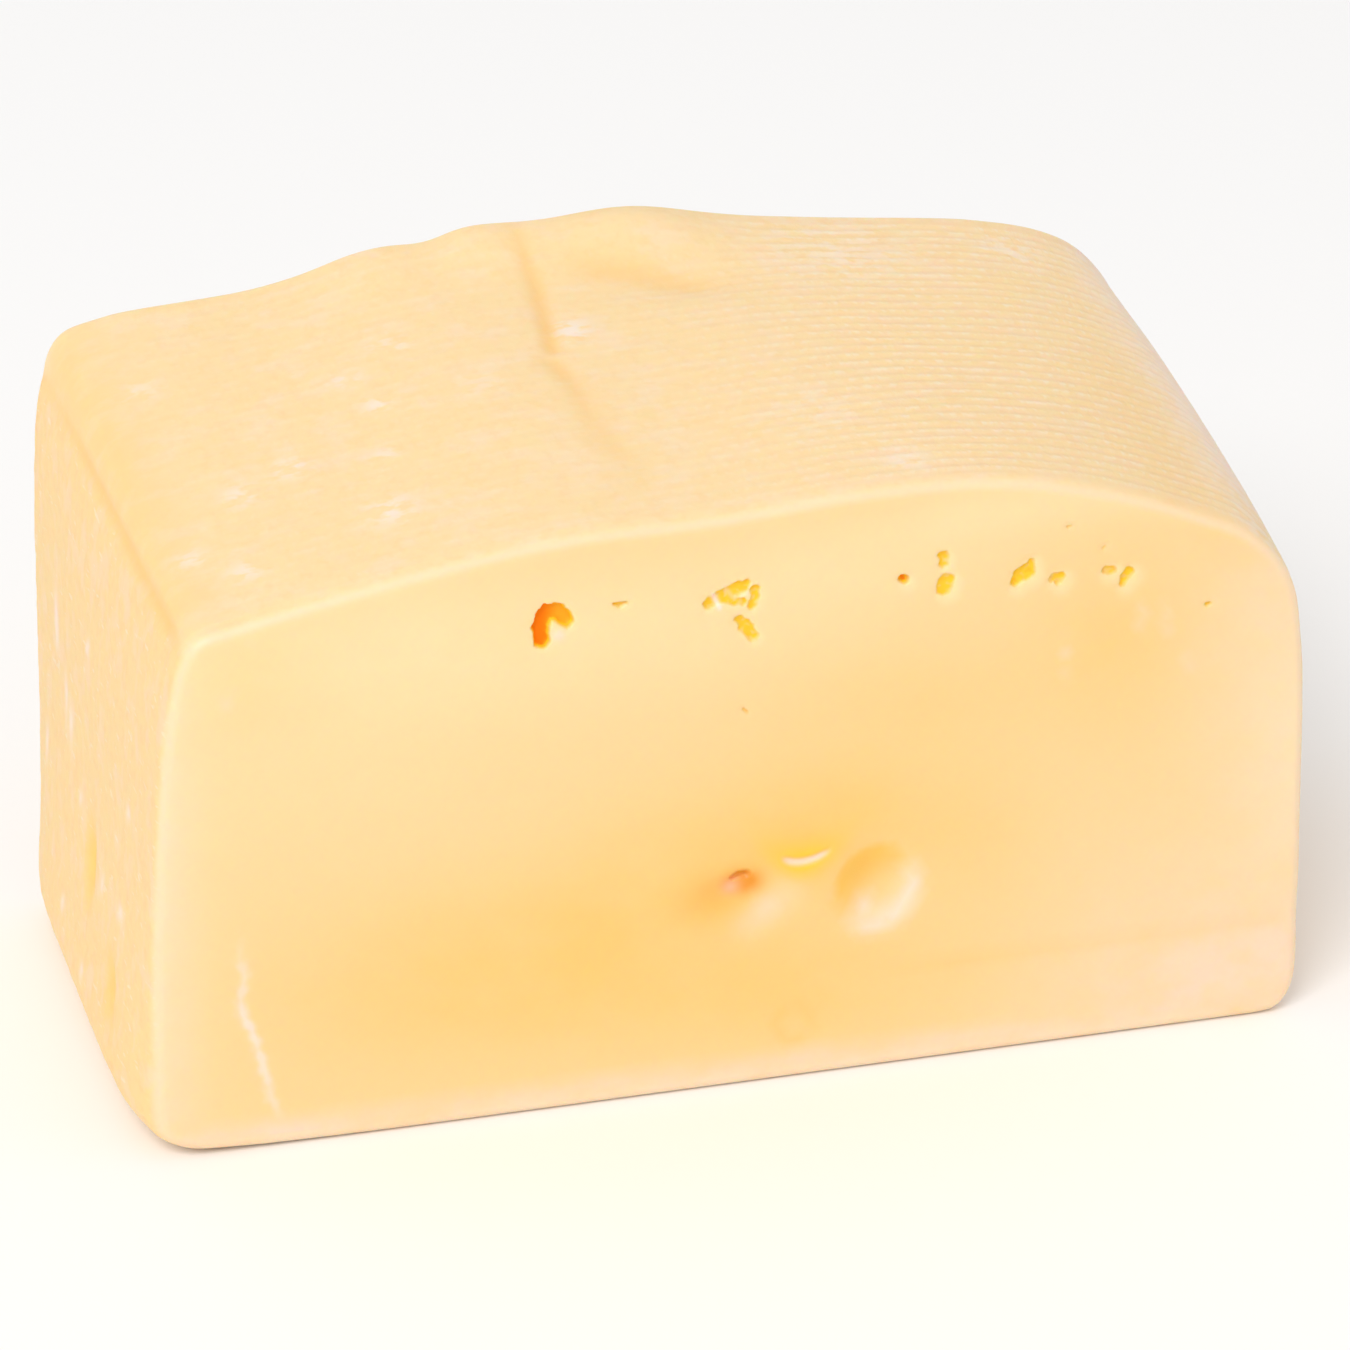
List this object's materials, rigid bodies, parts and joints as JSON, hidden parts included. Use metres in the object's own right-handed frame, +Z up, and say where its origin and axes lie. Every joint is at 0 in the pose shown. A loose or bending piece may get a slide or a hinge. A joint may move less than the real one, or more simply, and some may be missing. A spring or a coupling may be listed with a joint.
{
  "type": "cheese wedge",
  "caption": "Hand-cut block of semi-hard yellow cheese with a crowned, ribbed rind and gas eyes in its cut face, resting on its flat base.",
  "frame": {"origin": "under the middle of the block's box, on its flat base", "axes": "+X along the cut face with the eyes, towards the end where the rind rolls over; +Y from that face to the cut behind; +Z up"},
  "size_m": [0.1328, 0.067, 0.0777],
  "materials": {
    "cheese": "smooth waxy paste, slightly translucent, satin on the cut face and matt on the rind"
  },
  "bodies": {
    "root": {"cheese_block": "cheese"}
  },
  "joints": []
}
